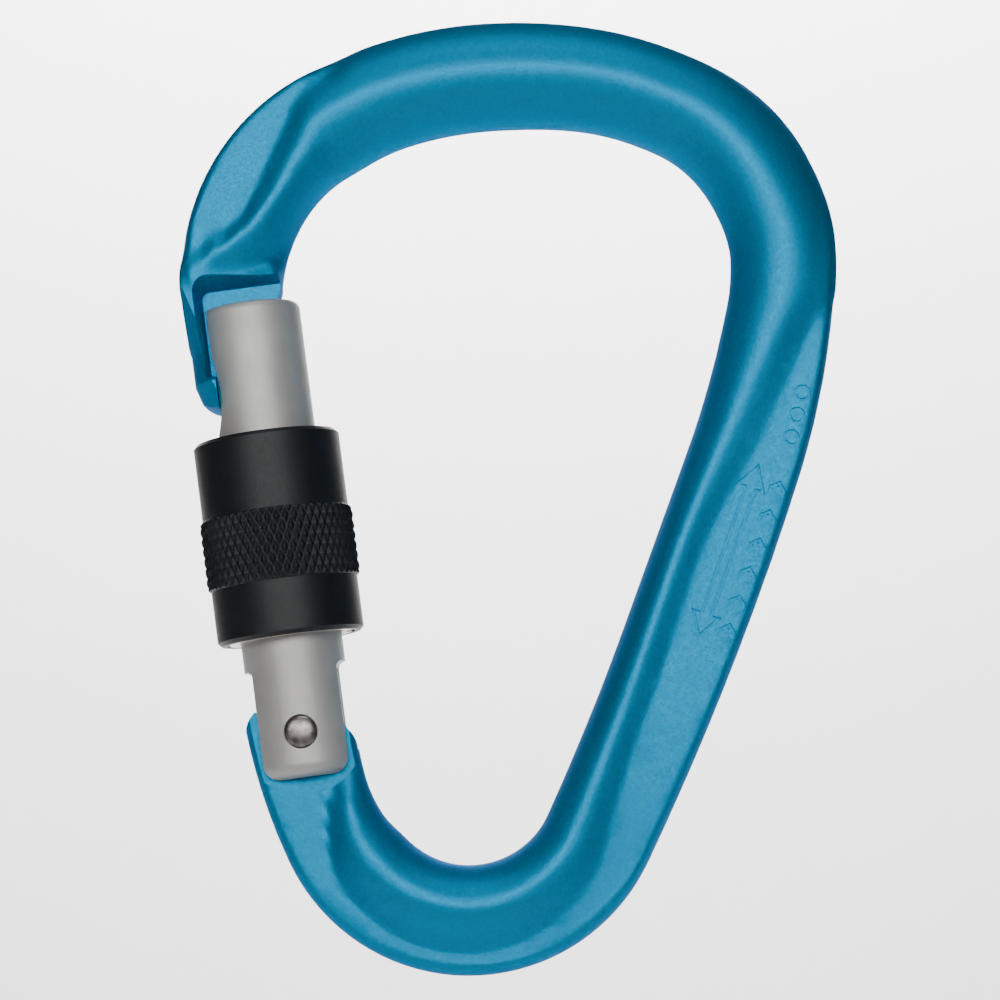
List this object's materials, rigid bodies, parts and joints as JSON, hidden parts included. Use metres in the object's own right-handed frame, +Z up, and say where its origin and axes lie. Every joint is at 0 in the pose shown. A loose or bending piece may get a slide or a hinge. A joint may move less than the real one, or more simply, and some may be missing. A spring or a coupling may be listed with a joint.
{
  "type": "locking carabiner",
  "caption": "Pear-shaped carabiner with an inward-opening sprung gate and a knurled screw sleeve that rises over the nose to lock it.",
  "frame": {"origin": "inner apex of the upper bow, where a sling or rope hangs, midway through the thickness", "axes": "+Z up the long axis from the narrow bow to the wide bow, +X from the gate to the spine, Y through the thickness"},
  "size_m": [0.0767, 0.018, 0.112],
  "materials": {
    "blue_anodised": "bead-blasted, blue anodised",
    "silver_anodised": "satin silver anodised",
    "black_anodised": "satin black anodised, knurled band",
    "rivet_steel": "peened and tumbled",
    "ring_steel": "plain",
    "spring_steel": "drawn wire"
  },
  "bodies": {
    "frame": {"body_frame": "blue_anodised"},
    "gate": {"gate_barrel": "silver_anodised", "hinge_rivet": "rivet_steel", "gate_spring": "spring_steel"},
    "plunger": {"spring_plunger": "rivet_steel"},
    "ring": {"sleeve_ring": "ring_steel"},
    "sleeve": {"locking_sleeve": "black_anodised"}
  },
  "joints": [
    {"name": "gate_hinge", "type": "hinge", "parent": "frame", "child": "gate", "pos_m": [-0.02516, 0, -0.07124], "axis": [0, 1, 0], "range_deg": [0, 27], "stiffness_Nm_per_rad": 0.4, "springref_deg": -28.65},
    {"name": "plunger_slide", "type": "slide", "parent": "gate", "child": "plunger", "axis": [-0.1331, 0, 0.9911], "range_m": [0, 0.00115], "deforming": ["gate_spring"]},
    {"name": "sleeve_rise", "type": "slide", "parent": "gate", "child": "ring", "axis": [-0.1331, 0, 0.9911], "range_m": [0, 0.01]},
    {"name": "sleeve_turn", "type": "hinge", "parent": "ring", "child": "sleeve", "pos_m": [-0.02516, 0, -0.07124], "axis": [-0.1331, 0, 0.9911], "range_deg": [0, 1441]}
  ],
  "couplings": [
    {"joint": "plunger_slide", "follows": "gate_hinge", "m_per_rad": 0.0024},
    {"joint": "sleeve_turn", "follows": "sleeve_rise", "rad_per_m": 2513.3}
  ]
}
